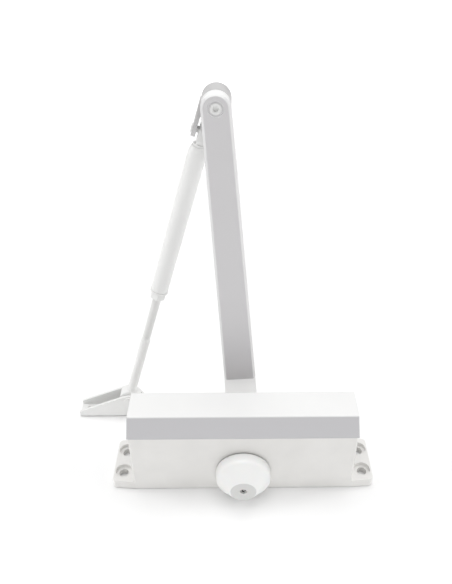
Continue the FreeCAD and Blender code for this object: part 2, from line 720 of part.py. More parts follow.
def make_rack(body):
    """Straight-sided rack teeth that hang from the top of the piston's window."""
    flank = "tan(pressure_angle * 1deg)"
    tip = f"({RACK_LINE} - pinion_module)"
    before = f"floor(({WINDOW_LEFT} - {RACK_PITCH} / 2) / {RACK_PITCH})"
    after = f"floor(({WINDOW_RIGHT} - {RACK_PITCH} / 2) / {RACK_PITCH})"
    centre = f"(-{before} * {RACK_PITCH})"
    tip_half = f"({RACK_PITCH} / 4 - pinion_module * {flank})"
    root_half = f"({RACK_PITCH} / 4 + ({WINDOW_TOP} - {RACK_LINE}) * {flank})"
    corners = [(f"{centre} - {tip_half}", tip), (f"{centre} + {tip_half}", tip)]
    corners += [(f"{centre} + {root_half}", WINDOW_TOP), (f"{centre} - {root_half}", WINDOW_TOP)]
    tooth = pad(body, "XZ", lambda sketch: polygon(sketch, corners), f"-{HALF_RACK}", HALF_RACK)
    row = body.newObject("PartDesign::LinearPattern", "rack_teeth")
    row.Originals = [tooth]
    row.Direction = (origin_part(body, "X_Axis"), [""])
    bind(row, "Length", f"({before} + {after}) * {RACK_PITCH}")
    bind(row, "Occurrences", f"{before} + {after} + 1")
    body.Tip = row
    doc.recompute()


def make_spring():
    """Round-wire compression spring between the spring plug and the piston."""
    helix = doc.addObject("Part::Helix", "spring_path")
    room = f"({HALF_LENGTH} - plug_length - {PISTON_LEFT} - spring_wire_diameter - 2 * running_fit)"
    bind(helix, "Radius", SPRING_RADIUS)
    bind(helix, "Height", room)
    bind(helix, "Pitch", f"{room} / spring_turns")
    wire = doc.addObject("Part::Circle", "spring_wire")
    wire.Placement.Rotation = FreeCAD.Rotation(FreeCAD.Vector(1, 0, 0), 90)
    bind(wire, "Radius", "spring_wire_diameter / 2")
    bind(wire, "Placement.Base.x", SPRING_RADIUS)
    sweep = doc.addObject("Part::Sweep", "spring")
    sweep.Label = "spring"
    sweep.Sections = [wire]
    sweep.Spine = (helix, [])
    sweep.Solid = True
    sweep.Frenet = True
    end = f"-{HALF_LENGTH} + plug_length + spring_wire_diameter / 2 + running_fit"
    place(sweep, (end, "0", BORE_HEIGHT, (0, 1, 0), "90"))
    nodes.append(sweep)


def make_valves():
    """Two identical needle screws in the end face of the housing, with their seals."""
    radius = "(valve_diameter / 2 - running_fit)"
    groove = "(valve_diameter / 2 - valve_seal_depth)"
    seal_end = "(valve_seal_start + valve_seal_width)"
    needle = "(gallery_diameter / 2 - 2 * face_gap)"
    profile = [("-free_gap", "0"), ("-free_gap", radius)]
    profile += [("-valve_seal_start", radius), ("-valve_seal_start", groove)]
    profile += [(f"-{seal_end}", groove), (f"-{seal_end}", radius), ("-valve_length", radius)]
    profile += [(f"-{VALVE_DEPTH} + face_gap", needle)]
    profile += [(f"-{VALVE_DEPTH} - needle_length", "needle_tip_radius")]
    profile += [(f"-{VALVE_DEPTH} - needle_length", "0")]
    seals = []
    for label, side in (("closing_speed_valve", "-"), ("latch_speed_valve", "")):
        frame = (HALF_LENGTH, f"{side}valve_spacing / 2", GALLERY_HEIGHT, None, None)
        valve = turned(label, "X", profile, frame)
        half_slot = "screw_slot_width / 2"
        slot = rectangle("-valve_diameter", "valve_diameter", f"-{half_slot}", half_slot)
        cut(valve, "YZ", slot, "-free_gap - screw_slot_depth", "cut_margin")
        centre = "-(valve_seal_start + valve_seal_width / 2)"
        middle = "(valve_diameter / 2 - valve_seal_depth / 2)"
        wire = "(valve_seal_depth / 2 - running_fit)"
        seals.append(ring("valve_seal", "X", frame, centre, middle, wire))
    group("valve_seals", seals)


def tooth_gap():
    """Corners of the gap between two pinion teeth, whose flanks are involutes.

    The gap faces the rack at rest, so it leans back by the rest angle of the arm.
    """
    base = f"({PITCH_RADIUS} * cos(pressure_angle * 1deg))"
    slope = "tan(pressure_angle * 1deg)"
    tip_roll = f"sqrt(({TIP_RADIUS} / {base})^2 - 1)"
    involute = f"({slope} - pressure_angle * pi / 180)"
    half = f"(pi / pinion_teeth / 2 - {involute} + tooth_backlash / {PITCH_RADIUS} / 2)"
    flank = [(ROOT_RADIUS, half)]
    for step in range(FLANK_STEPS + 1):
        roll = f"({tip_roll} * {step} / {FLANK_STEPS})"
        spread = f"({roll} - atan({roll}) / 1deg * pi / 180)"
        flank.append((f"{base} * sqrt(1 + {roll}^2)", f"({half} + {spread})"))
    flank.append((f"({TIP_RADIUS} + cut_margin)", "(pi / pinion_teeth * 0.96)"))
    corners = []
    for side, order in ((1, flank), (-1, flank[::-1])):
        for reach, angle in order:
            turn = f"((90 - arm_rest_angle - {side} * {angle} * 180 / pi) * 1deg)"
            corners.append((f"{reach} * cos({turn})", f"{reach} * sin({turn})"))
    return corners


def make_pinion_shaft():
    body = new_body("pinion_shaft", AT_PINION)
    journal, half_gear = "journal_diameter / 2", HALF_GEAR
    near, far = f"-({RETAINER_END} + face_gap)", f"({HUB_FRONT} - face_gap)"
    profile = [(near, "0"), (near, journal), (f"-{half_gear}", journal)]
    profile += [(f"-{half_gear}", TIP_RADIUS), (half_gear, TIP_RADIUS)]
    profile += [(half_gear, journal), (far, journal), (far, "0")]
    turn(body, "Y", profile)
    corners = tooth_gap()
    gap = cut(body, "XZ", lambda sketch: polygon(sketch, corners), f"-{half_gear}", half_gear)
    teeth = body.newObject("PartDesign::PolarPattern", "pinion_teeth_pattern")
    teeth.Originals = [gap]
    teeth.Axis = (origin_part(body, "Y_Axis"), [""])
    teeth.Angle = 360
    bind(teeth, "Occurrences", "pinion_teeth")
    body.Tip = teeth
    doc.recompute()
    pad(body, "XZ", square(ARM_SQUARE), far, f"{HUB_BACK} - face_gap")
    cut(body, "XZ", annulus(journal, ARM_SQUARE), far, HUB_BACK)
    pad(body, "XZ", square(CAP_SQUARE), f"-{CAP_END} + cap_tenon_setback", near)
    screw = circles([("0", "0")], "arm_screw_diameter / 2")
    cut(body, "XZ", screw, f"{HUB_BACK} - arm_screw_depth - 2 * cut_margin", HUB_BACK)
    cap_screw = circles([("0", "0")], "cap_screw_diameter / 2")
    tenon_end = f"-{CAP_END} + cap_tenon_setback - cut_margin"
    cut(body, "XZ", cap_screw, tenon_end, f"-{CAP_END} + cap_screw_length + cut_margin")


def make_bearings():
    """Bush, lip seal and screwed retainer at each side of the housing."""
    outer = f"({CROSS_BORE_RADIUS} - press_fit)"
    rows = (("pinion_bushes", BUSH_INNER_END, BUSH_OUTER_END, "running_fit"),
            ("shaft_seals", BUSH_OUTER_END, SEAL_OUTER_END, "press_fit"),
            ("bearing_retainers", SEAL_OUTER_END, RETAINER_END, "free_gap"))
    for label, start, end, clearance in rows:
        inner = f"(journal_diameter / 2 + {clearance})"
        members = []
        for side in ("-", ""):
            profile = tube_profile(f"{side}({start})", f"{side}({end})", inner, outer)
            piece = turned(label[:-1], "Y", profile, ("0", "0", "pinion_height", None, None), kept=False)
            if label == "bearing_retainers":
                middle = f"({CROSS_BORE_RADIUS} + journal_diameter / 2) / 2"
                spot_radius = f"({CROSS_BORE_RADIUS} - journal_diameter / 2) * spanner_hole_share"
                spots = circles([(f"-{middle}", "0"), (middle, "0")], spot_radius)
                floor, past = f"({start} + spanner_hole_floor)", f"({end} + cut_margin)"
                low, high = (f"-{past}", f"-{floor}") if side else (floor, past)
                cut(piece, "XZ", spots, low, high)
            members.append(piece)
        group(label, members)


def make_cap():
    """Hollow plastic cap over the unused end of the pinion, held by a small screw."""
    rim = "cap_diameter / 2"
    shoulder, shoulder_at = "cap_shoulder_diameter / 2", f"-{CAP_START} - cap_shoulder_length"
    rim_at = f"-{CAP_START} - cap_rim_length"
    head = f"{CAP_SCREW_HEAD} + running_fit"
    hole = "cap_screw_diameter / 2 + 2 * running_fit"
    seat, boss = f"-{CAP_END} + cap_screw_seat_depth", f"{CAP_SQUARE} / 2 + cap_boss_wall"
    profile = [(f"-{CAP_END}", head), (f"-{CAP_END}", "cap_tip_diameter / 2"), (shoulder_at, shoulder)]
    profile += [(f"{shoulder_at} + cap_step_length", f"{rim} - cap_step_inset"), (rim_at, rim)]
    profile += [(f"-{CAP_START} - cap_rim_bevel", rim), (f"-{CAP_START}", f"{rim} - cap_rim_bevel")]
    inner, ceiling = f"({rim} - cap_wall)", f"(-{CAP_END} + 1.3 * cap_wall)"
    profile += [(f"-{CAP_START}", inner), (f"{rim_at} + 0.2 * cap_wall", inner)]
    profile += [(f"{shoulder_at} + cap_wall", f"{shoulder} - 0.3 * cap_wall")]
    profile += [(ceiling, "cap_tip_diameter / 2 - 0.4 * cap_wall"), (ceiling, boss)]
    mouth = f"-{CAP_START} - cap_wall"
    profile += [(mouth, boss), (mouth, hole), (seat, hole), (seat, head)]
    cap = turned("pinion_cap", "Y", profile, AT_PINION)
    socket = square(f"{CAP_SQUARE} + 2 * running_fit")
    cut(cap, "XZ", socket, f"-{CAP_END} + cap_tenon_setback - free_gap", f"{mouth} + cut_margin")
    shank = "cap_screw_diameter / 2 - press_fit"
    top, end = f"-{CAP_END} + cap_screw_recess", f"-{CAP_END} + cap_screw_length"
    screw = [(top, "0"), (top, CAP_SCREW_HEAD), (seat, CAP_SCREW_HEAD), (seat, shank)]
    screw += [(end, shank), (end, "0")]
    body = turned("cap_screw", "Y", screw, AT_PINION)
    long, thin = "cross_slot_length / 2", "cross_slot_width / 2"
    for x, y in ((long, thin), (thin, long)):
        cut(body, "XZ", rectangle(f"-{x}", x, f"-{y}", y), f"-{CAP_END}", f"{top} + cross_slot_depth")


def make_main_arm():
    """Tapered flat arm, cranked towards the housing at its hub."""
    body = new_body("main_arm", AT_PINION)
    outline = capsule("0", "0", "arm_hub_diameter / 2", "arm_length", "arm_tip_diameter / 2")
    pad(body, "XZ", outline, HUB_FRONT, ARM_BACK)
    over, under = "arm_length + arm_tip_diameter", "-arm_hub_diameter"
    bend = "(crank_end - arm_crank)"
    before, past = f"{HUB_FRONT} - cut_margin", f"{ARM_BACK} + cut_margin"
    ahead = [(before, bend), (HUB_FRONT, bend), (ARM_FRONT, "crank_end"), (ARM_FRONT, over), (before, over)]
    behind = [(HUB_BACK, under), (HUB_BACK, f"{bend} - {BEND_SHIFT}")]
    behind += [(ARM_BACK, f"crank_end - {BEND_SHIFT}"), (past, f"crank_end - {BEND_SHIFT}"), (past, under)]
    for corners in (ahead, behind):
        wedge = lambda sketch: polygon(sketch, corners)
        cut(body, "YZ", wedge, "-arm_hub_diameter", "arm_hub_diameter")
    front, crank, reach = value_of(ARM_FRONT), number("crank_end"), number("arm_length")
    long_edges = []
    for index, edge in enumerate(body.Tip.Shape.Edges, start=1):
        middle = edge.valueAt((edge.FirstParameter + edge.LastParameter) / 2)
        on_front = abs(middle.y - front) < TOLERANCE and crank < middle.z < reach
        if on_front and abs(middle.x) > TOLERANCE:
            long_edges.append(f"Edge{index}")
    dress(body, "Chamfer", long_edges, "Size", "arm_bevel")
    cut(body, "XZ", square(f"{ARM_SQUARE} + 2 * running_fit"), before, f"{HUB_BACK} + cut_margin")
    end = [("0", "arm_length")]
    cut(body, "XZ", circles(end, "rivet_diameter / 2 + press_fit"), before, past)
    dimple = circles(end, f"{RIVET_HEAD} + dimple_margin")
    cut(body, "XZ", dimple, before, f"{ARM_FRONT} + dimple_depth")


def make_arm_screw():
    start, washer_end = HUB_BACK, f"({HUB_BACK} + arm_washer_thickness)"
    hole, outer = "arm_screw_diameter / 2 + face_gap", "arm_washer_diameter / 2"
    turned("arm_washer", "Y", tube_profile(start, washer_end, hole, outer), AT_PINION)
    shank, head = "arm_screw_diameter / 2 - press_fit", "arm_screw_head_diameter / 2"
    top = f"({washer_end} + arm_screw_head_length)"
    end = f"{HUB_BACK} - arm_screw_depth"
    profile = [(end, "0"), (end, shank), (washer_end, shank), (washer_end, head)]
    profile += [(f"{top} - arm_screw_head_bevel", head)]
    profile += [(top, f"{head} - arm_screw_head_bevel"), (top, "0")]
    screw = turned("arm_screw", "Y", profile, AT_PINION)
    cut(screw, "XZ", hexagon("arm_screw_key"), f"{top} - arm_screw_key_depth", f"{top} + cut_margin")


def make_elbow():
    hole, shank = "rivet_hole_diameter / 2", "rivet_diameter / 2"
    head_back = f"({ARM_FRONT} + dimple_depth)"
    tail = f"({KNUCKLE_BACK} + face_gap)"
    face, tail_end = f"{head_back} - rivet_head_length", f"{tail} + rivet_tail_length"
    profile = [(face, hole), (face, f"{RIVET_HEAD} - rivet_head_bevel")]
    profile += [(f"{face} + rivet_head_bevel", RIVET_HEAD), (head_back, RIVET_HEAD)]
    profile += [(head_back, shank), (tail, shank), (tail, RIVET_TAIL)]
    profile += [(f"{tail_end} - rivet_tail_bevel", RIVET_TAIL)]
    profile += [(tail_end, f"{RIVET_TAIL} - rivet_tail_bevel"), (tail_end, hole)]
    turned("elbow_rivet", "Y", profile, AT_ELBOW)
    washer_end = f"({ARM_BACK} + elbow_washer_thickness)"
    hole, outer = "rivet_diameter / 2 + running_fit", "elbow_washer_diameter / 2"
    turned("elbow_washer", "Y", tube_profile(ARM_BACK, washer_end, hole, outer), AT_ELBOW)


def make_knuckle():
    """Elbow knuckle on the rivet, with a fork that holds the tilt pin."""
    body = new_body("elbow_knuckle", AT_FOREARM)
    side, pivot = "knuckle_width / 2", [("forearm_offset", "0")]
    drum = pad(body, "XZ", circles(pivot, "knuckle_diameter / 2"), f"-{side}", side)
    rims = [f"Edge{i}" for i, edge in enumerate(drum.Shape.Edges, start=1) if len(edge.Vertexes) == 1]
    dress(body, "Fillet", rims, "Radius", "knuckle_round")
    ears = capsule("0", "-tilt_pin_distance", "fork_depth / 2", "-fork_depth / 2", "fork_depth / 2")
    pad(body, "YZ", ears, "-fork_width / 2", "fork_width / 2")
    slot_top = "-knuckle_diameter / 2 - fork_root"
    slot = rectangle("-fork_slot / 2", "fork_slot / 2", "-tilt_pin_distance - fork_depth", slot_top)
    cut(body, "XZ", slot, "-fork_depth", "fork_depth")
    bore = circles(pivot, "rivet_diameter / 2 + running_fit")
    cut(body, "XZ", bore, "-knuckle_width", "knuckle_width")
    pin = circles([("0", "-tilt_pin_distance")], "tilt_pin_diameter / 2 + press_fit")
    cut(body, "YZ", pin, "-fork_width", "fork_width")
    shank, head = "tilt_pin_diameter / 2", "tilt_pin_diameter / 2 + tilt_pin_head_lip"
    side, end = "(fork_width / 2)", "(fork_width / 2 + tilt_pin_head_length)"
    profile = [(f"-{end}", "0"), (f"-{end}", head), (f"-{side}", head), (f"-{side}", shank)]
    profile += [(side, shank), (side, head), (end, head), (end, "0")]
    x, z = FOREARM_X, FOREARM_Z
    lean = "(forearm_rest_angle * 1deg)"
    spot = (f"{x} - tilt_pin_distance * sin{lean}", FOREARM_PLANE)
    spot += (f"{z} - tilt_pin_distance * cos{lean}", (0, 1, 0), "forearm_rest_angle")
    turned("tilt_pin", "X", profile, spot)


def make_forearm_tube():
    outer, inner = "tube_diameter / 2", "tube_bore / 2"
    top = "-tube_start"
    profile = [(top, inner), (top, f"{inner} + tube_nose_lip")]
    profile += [(f"{top} - tube_nose_bevel", f"{outer} - tube_nose_bevel")]
    profile += [(f"{top} - tube_nose_length", outer), (f"-{TUBE_CUT}", outer), (f"-{TUBE_CUT}", inner)]
    turned("forearm_tube", "Z", profile, AT_FOREARM)
    tongue = new_body("tube_tongue", AT_FOREARM)
    plug = circles([("0", "0")], f"{inner} - press_fit")
    pad(tongue, "XY", plug, "-tube_start - tongue_plug_length", "-tube_start")
    blade_end = "-tube_start"
    half = "tongue_depth / 2"
    blade = capsule("0", f"{blade_end} + {half}", half, "-tilt_pin_distance", half)
    pad(tongue, "YZ", blade, "-tongue_thickness / 2", "tongue_thickness / 2")
    pad(tongue, "XY", plug, "-tube_start - cut_margin", "-tube_start + tongue_neck_length")
    pin = circles([("0", "-tilt_pin_distance")], "tilt_pin_diameter / 2 + running_fit")
    cut(tongue, "YZ", pin, "-tongue_thickness", "tongue_thickness")
    bore = "thread_diameter / 2 + running_fit"
    flange = "insert_flange_diameter / 2"
    top, plug_radius = f"-{TUBE_CUT} + insert_length", f"{inner} - press_fit"
    profile = [(top, bore), (top, plug_radius), (f"-{TUBE_CUT}", plug_radius), (f"-{TUBE_CUT}", flange)]
    profile += [("-tube_end + insert_flange_bevel", flange)]
    profile += [("-tube_end", f"{flange} - insert_flange_bevel"), ("-tube_end", bore)]
    turned("tube_insert", "Z", profile, AT_FOREARM)


def make_lock_nut():
    body = new_body("lock_nut", AT_FOREARM)
    top = "-tube_end - face_gap"
    pad(body, "XY", hexagon("nut_width"), f"{top} - nut_length", top)
    thread = circles([("0", "0")], "thread_diameter / 2 + running_fit")
    cut(body, "XY", thread, f"{top} - nut_length - cut_margin", f"{top} + cut_margin")


def make_rod():
    body = new_body("forearm_rod", AT_FOREARM)
    thread, shank = "thread_diameter / 2", "shank_diameter / 2"
    end = f"-{FOREARM_LENGTH} + eye_overlap"
    profile = [("-thread_start", "0"), ("-thread_start", f"{thread} - thread_lead")]
    profile += [("-thread_start - thread_lead", thread), ("-thread_end", thread)]
    profile += [("-thread_end - shank_step", shank), (end, shank), (end, "0")]
    turn(body, "Z", profile)
    eye = [("0", f"-{FOREARM_LENGTH}")]
    pad(body, "XZ", circles(eye, "eye_diameter / 2"), "-eye_width / 2", "eye_width / 2")
    pin = circles(eye, "foot_pin_diameter / 2 + running_fit")
    cut(body, "XZ", pin, "-eye_width", "eye_width")


def make_foot_bracket():
    """Folded channel with two sloping cheeks around the eye of the rod."""
    body = new_body("foot_bracket", AT_FOOT)
    base, side = "-foot_pin_height", "bracket_width / 2"
    toe, crest = f"({base} + bracket_toe_height)", f"({base} + bracket_top_height)"
    cheek = [("-bracket_reach", base), ("bracket_heel", base)]
    cheek += [("bracket_heel", f"{crest} - bracket_heel_drop")]
    cheek += [("bracket_heel / 2", f"{crest} - bracket_back_drop"), ("0", crest)]
    cheek += [("-bracket_heel / 2", f"{crest} - bracket_front_drop"), ("-bracket_reach", toe)]
    pad(body, "XZ", lambda sketch: polygon(sketch, cheek), f"-{side}", side)
    bottom = TOLERANCE - number("foot_pin_height")
    folds = straight_edges(body.Tip, (1, 0, 0), lambda p: p.z < bottom)
    dress(body, "Fillet", folds, "Radius", "bracket_fold_radius")
    inside = f"({side} - bracket_sheet)"
    channel = rectangle(f"-{inside}", inside, f"{base} + bracket_sheet", f"{crest} + cut_margin")
    cut(body, "YZ", channel, "-bracket_reach - cut_margin", "bracket_heel + cut_margin")
    spots = [("-bracket_hole_far", "0"), ("-bracket_hole_near", "0")]
    screws = circles(spots, "bracket_hole_diameter / 2")
    cut(body, "XY", screws, f"{base} - cut_margin", f"{base} + bracket_sheet + cut_margin")
    pin = circles([("0", "0")], "foot_pin_diameter / 2 + press_fit")
    cut(body, "XZ", pin, "-bracket_width", "bracket_width")
    shank, head = "foot_pin_diameter / 2", "foot_pin_head_diameter / 2"
    end = f"({side} + foot_pin_head_length)"
    profile = [(f"-{end}", "0"), (f"-{end}", head), (f"-({side})", head), (f"-({side})", shank)]
    profile += [(side, shank), (side, head), (end, head), (end, "0")]
    turned("foot_pin", "Y", profile, AT_FOOT)


def check_document():
    """Stops before anything is written if any object or sub-part has failed."""
    doc.recompute()
    for item in doc.Objects:
        if "Invalid" in item.State or "Error" in item.State:
            raise RuntimeError(f"{item.Label} failed: {item.State}")
    for node in nodes:
        if node.Shape.isNull() or not node.Shape.isValid() or not node.Shape.Solids:
            raise RuntimeError(f"{node.Label} has no valid shape")


def write_parts():
    os.makedirs("parts", exist_ok=True)
    for node in nodes:
        node.Shape.exportStep(f"parts/{node.Label}.step")
        print(f"{node.Label}: {len(node.Shape.Solids)} solid(s), {node.Shape.Volume:.0f} mm3")


fill_sheet()
make_housing()
make_cover()
make_cover_clips()
make_end_plugs()
make_piston()
make_spring()
make_valves()
make_pinion_shaft()
make_bearings()
make_cap()
make_main_arm()
make_arm_screw()
make_elbow()
make_knuckle()
make_forearm_tube()
make_lock_nut()
make_rod()
make_foot_bracket()
check_document()
write_parts()
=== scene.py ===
import json
import math

import bmesh
import bpy
from mathutils import Matrix, Vector


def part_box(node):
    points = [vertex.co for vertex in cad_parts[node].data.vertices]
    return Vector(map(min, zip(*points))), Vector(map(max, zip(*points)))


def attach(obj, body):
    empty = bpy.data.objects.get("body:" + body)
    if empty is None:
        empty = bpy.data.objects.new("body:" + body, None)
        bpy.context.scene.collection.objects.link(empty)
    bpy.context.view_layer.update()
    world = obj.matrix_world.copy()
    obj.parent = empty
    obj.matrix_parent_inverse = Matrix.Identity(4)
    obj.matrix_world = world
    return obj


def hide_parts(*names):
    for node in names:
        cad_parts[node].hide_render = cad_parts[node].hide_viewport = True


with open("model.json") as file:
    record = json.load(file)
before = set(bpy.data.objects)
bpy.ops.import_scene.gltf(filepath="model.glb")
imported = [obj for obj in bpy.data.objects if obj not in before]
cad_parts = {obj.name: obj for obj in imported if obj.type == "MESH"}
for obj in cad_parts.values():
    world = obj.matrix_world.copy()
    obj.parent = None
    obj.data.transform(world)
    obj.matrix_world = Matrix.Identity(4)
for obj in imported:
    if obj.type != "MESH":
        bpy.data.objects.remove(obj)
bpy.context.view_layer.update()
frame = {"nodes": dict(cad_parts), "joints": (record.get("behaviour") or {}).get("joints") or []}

nodes = frame["nodes"]
mm = 0.001
pi = math.pi
joints = {joint["name"]: joint for joint in frame["joints"]}
print("frame loaded:", len(nodes), "nodes")


# small helpers for shader trees
def newMaterial(name):
    material = bpy.data.materials.new(name)
    material.use_nodes = True
    return material, material.node_tree, material.node_tree.nodes["Principled BSDF"]


def addNode(tree, kind, **values):
    node = tree.nodes.new(kind)
    for key, value in values.items():
        if hasattr(node, key):
            setattr(node, key, value)
        else:
            node.inputs[key.replace("_", " ")].default_value = value
    return node


def grain(tree, scale, stretch=(1, 1, 1), detail=3.0, distortion=0.0):
    coord = addNode(tree, "ShaderNodeTexCoord")
    mapping = addNode(tree, "ShaderNodeMapping", Scale=stretch)
    noise = addNode(tree, "ShaderNodeTexNoise", Scale=scale, Detail=detail, Distortion=distortion)
    tree.links.new(coord.outputs["Object"], mapping.inputs["Vector"])
    tree.links.new(mapping.outputs["Vector"], noise.inputs["Vector"])
    return noise.outputs["Fac"]


def ramp(tree, source, low, high, start=0.3, end=0.7):
    node = addNode(tree, "ShaderNodeValToRGB")
    node.color_ramp.elements[0].position = start
    node.color_ramp.elements[0].color = (*low, 1)
    node.color_ramp.elements[1].position = end
    node.color_ramp.elements[1].color = (*high, 1)
    tree.links.new(source, node.inputs["Fac"])
    return node.outputs["Color"]


def spread(tree, source, low, high, start=0.3, end=0.7):
    node = addNode(tree, "ShaderNodeMapRange")
    for socket, value in zip(node.inputs[1:5], (start, end, low, high)):
        socket.default_value = value
    tree.links.new(source, node.inputs["Value"])
    return node.outputs["Result"]


def mixColour(tree, factor, first, second):
    node = addNode(tree, "ShaderNodeMix", data_type="RGBA")
    tree.links.new(factor, node.inputs["Factor"])
    for socket, colour in ((node.inputs[6], first), (node.inputs[7], second)):
        if isinstance(colour, tuple):
            socket.default_value = (*colour, 1)
        else:
            tree.links.new(colour, socket)
    return node.outputs[2]


def bump(tree, bsdf, *layers):
    normal = None
    for source, strength, distance in layers:
        node = addNode(tree, "ShaderNodeBump", Strength=strength, Distance=distance)
        tree.links.new(source, node.inputs["Height"])
        if normal is not None:
            tree.links.new(normal, node.inputs["Normal"])
        normal = node.outputs["Normal"]
    tree.links.new(normal, bsdf.inputs["Normal"])


def facing(tree, axis):
    coord = addNode(tree, "ShaderNodeTexCoord")
    parts = addNode(tree, "ShaderNodeSeparateXYZ")
    tree.links.new(coord.outputs["Normal"], parts.inputs["Vector"])
    return parts.outputs[axis]


# white powder coat: orange peel, faint tone drift, scattered specks of dust
def powderCoat(name, look):
    material, tree, bsdf = newMaterial(name)
    drift = grain(tree, look["driftScale"], detail=4)
    colour = ramp(tree, drift, look["dark"], look["light"])
    if "slope" in look:  # painted shade: the sloping bands are painted greyer than the flat top, by facing direction
        paintedShadeMask = spread(tree, facing(tree, "Z"), 1, 0, 0.65, 0.95)
        colour = mixColour(tree, paintedShadeMask, colour, look["slope"])
    if "face" in look:  # painted shade and painted light: the flat front is painted greyer than the bevels, and the bend facing up is painted lightest, both by facing direction
        paintedShadeMask = spread(tree, facing(tree, "Y"), 1, 0, -0.98, -0.90)
        colour = mixColour(tree, paintedShadeMask, colour, look["face"])
        crank = spread(tree, facing(tree, "Z"), 0, 1, 0.45, 0.60)
        colour = mixColour(tree, crank, colour, look["crank"])
    fleck = spread(tree, grain(tree, look["fleckScale"], detail=1), 0, look["fleckShare"], 0.70, 0.78)
    colour = mixColour(tree, fleck, colour, look["dust"])
    tree.links.new(colour, bsdf.inputs["Base Color"])
    rough = spread(tree, grain(tree, look["driftScale"] * 4), *look["roughness"])
    tree.links.new(rough, bsdf.inputs["Roughness"])
    bsdf.inputs["Coat Weight"].default_value = look["coat"]
    bsdf.inputs["Coat Roughness"].default_value = 0.18
    bsdf.inputs["Specular IOR Level"].default_value = look["specular"]
    peel = grain(tree, look["peelScale"], detail=2)
    wave = grain(tree, look["peelScale"] / 9, detail=1)
    bump(tree, bsdf, (peel, look["peel"], 0.00012), (wave, look["peel"], 0.0005))
    return material


def metal(name, look):
    material, tree, bsdf = newMaterial(name)
    brushed = grain(tree, look["grainScale"], look["grainStretch"], detail=5)
    blotch = grain(tree, look["blotchScale"], detail=4, distortion=0.4)
    colour = ramp(tree, brushed, look["dark"], look["light"])
    stain = spread(tree, blotch, 0, look["stainShare"], 0.48, 0.72)
    colour = mixColour(tree, stain, colour, look["stain"])
    tree.links.new(colour, bsdf.inputs["Base Color"])
    bsdf.inputs["Metallic"].default_value = 1.0
    rough = spread(tree, blotch, *look["roughness"])
    tree.links.new(rough, bsdf.inputs["Roughness"])
    bump(tree, bsdf, (brushed, look["bump"], 0.00006))
    return material


def moulded(name, look):
    material, tree, bsdf = newMaterial(name)
    drift = grain(tree, look["driftScale"], detail=3)
    colour = ramp(tree, drift, look["dark"], look["light"])
    if "face" in look:  # painted shade: the flat tip is painted greyer than the flank, by facing direction
        tip = spread(tree, facing(tree, "Y"), 1, 0, -0.995, -0.97)
        colour = mixColour(tree, tip, colour, look["face"])
    tree.links.new(colour, bsdf.inputs["Base Color"])
    rough = spread(tree, grain(tree, look["driftScale"] * 6), *look["roughness"])
    tree.links.new(rough, bsdf.inputs["Roughness"])
    bsdf.inputs["Subsurface Weight"].default_value = look["glow"]
    bsdf.inputs["Subsurface Scale"].default_value = 0.002
    skin = grain(tree, look["skinScale"], detail=3)
    flow = grain(tree, look["driftScale"] * 2, detail=1)
    bump(tree, bsdf, (skin, look["skin"], 0.00008), (flow, look["skin"], 0.0004))
    return material


castCoat = powderCoat("castPowderCoat", {
    "light": (0.86, 0.85, 0.83), "dark": (0.80, 0.79, 0.77), "dust": (0.55, 0.53, 0.50),
    "driftScale": 34, "fleckScale": 1500, "fleckShare": 0.12,
    "roughness": (0.30, 0.42), "coat": 0.25, "specular": 0.5,
    "peelScale": 1300, "peel": 0.30})
coverCoat = powderCoat("coverPowderCoat", {
    "light": (0.85, 0.85, 0.845), "dark": (0.835, 0.835, 0.83), "dust": (0.60, 0.58, 0.55),
    # painted shade: grey painted on the sloping bands
    "slope": (0.555, 0.55, 0.565),
    "driftScale": 22, "fleckScale": 1500, "fleckShare": 0.0,
    "roughness": (0.36, 0.42), "coat": 0.12, "specular": 0.5,
    "peelScale": 1100, "peel": 0.16})
armCoat = powderCoat("armPowderCoat", {
    "light": (0.75, 0.745, 0.75), "dark": (0.71, 0.705, 0.71), "dust": (0.50, 0.49, 0.49),
    # painted shade and painted light: grey for the flat front, near white for the upward bend
    "face": (0.65, 0.64, 0.65), "crank": (0.95, 0.95, 0.945),
    "driftScale": 28, "fleckScale": 1800, "fleckShare": 0.15,
    "roughness": (0.30, 0.40), "coat": 0.3, "specular": 0.5,
    "peelScale": 1400, "peel": 0.22})
knuckleCoat = powderCoat("knucklePowderCoat", {
    "light": (0.62, 0.615, 0.615), "dark": (0.54, 0.535, 0.535), "dust": (0.38, 0.37, 0.36),
    "driftScale": 60, "fleckScale": 1800, "fleckShare": 0.2,
    "roughness": (0.34, 0.46), "coat": 0.15, "specular": 0.5,
    "peelScale": 1400, "peel": 0.25})
forearmCoat = powderCoat("forearmPowderCoat", {
    "light": (0.84, 0.84, 0.83), "dark": (0.82, 0.82, 0.81), "dust": (0.55, 0.54, 0.52),
    "driftScale": 40, "fleckScale": 1800, "fleckShare": 0.1, "roughness": (0.34, 0.42),
    "coat": 0.15, "specular": 0.5, "peelScale": 1500, "peel": 0.2})
capPlastic = moulded("capPlastic", {
    # painted shade: the grey on this line is painted on the flat tip
    "light": (0.90, 0.90, 0.89), "dark": (0.88, 0.88, 0.87), "driftScale": 40, "face": (0.70, 0.70, 0.69),
    "roughness": (0.28, 0.36), "glow": 0.06, "skinScale": 2600, "skin": 0.12})
clipPlastic = moulded("clipPlastic", {
    "light": (0.74, 0.73, 0.69), "dark": (0.66, 0.65, 0.61), "driftScale": 60,
    "roughness": (0.42, 0.55), "glow": 0.05, "skinScale": 1800, "skin": 0.3})
sealRubber = moulded("sealRubber", {
    "light": (0.030, 0.030, 0.031), "dark": (0.016, 0.016, 0.017), "driftScale": 120,
    "roughness": (0.55, 0.75), "glow": 0.0, "skinScale": 2200, "skin": 0.5})
darkFastener = powderCoat("darkFastener", {
    "light": (0.50, 0.50, 0.49), "dark": (0.40, 0.40, 0.39), "dust": (0.12, 0.12, 0.12),
    "driftScale": 160, "fleckScale": 2200, "fleckShare": 0.3,
    "roughness": (0.30, 0.44), "coat": 0.2, "specular": 0.5,
    "peelScale": 2200, "peel": 0.25})
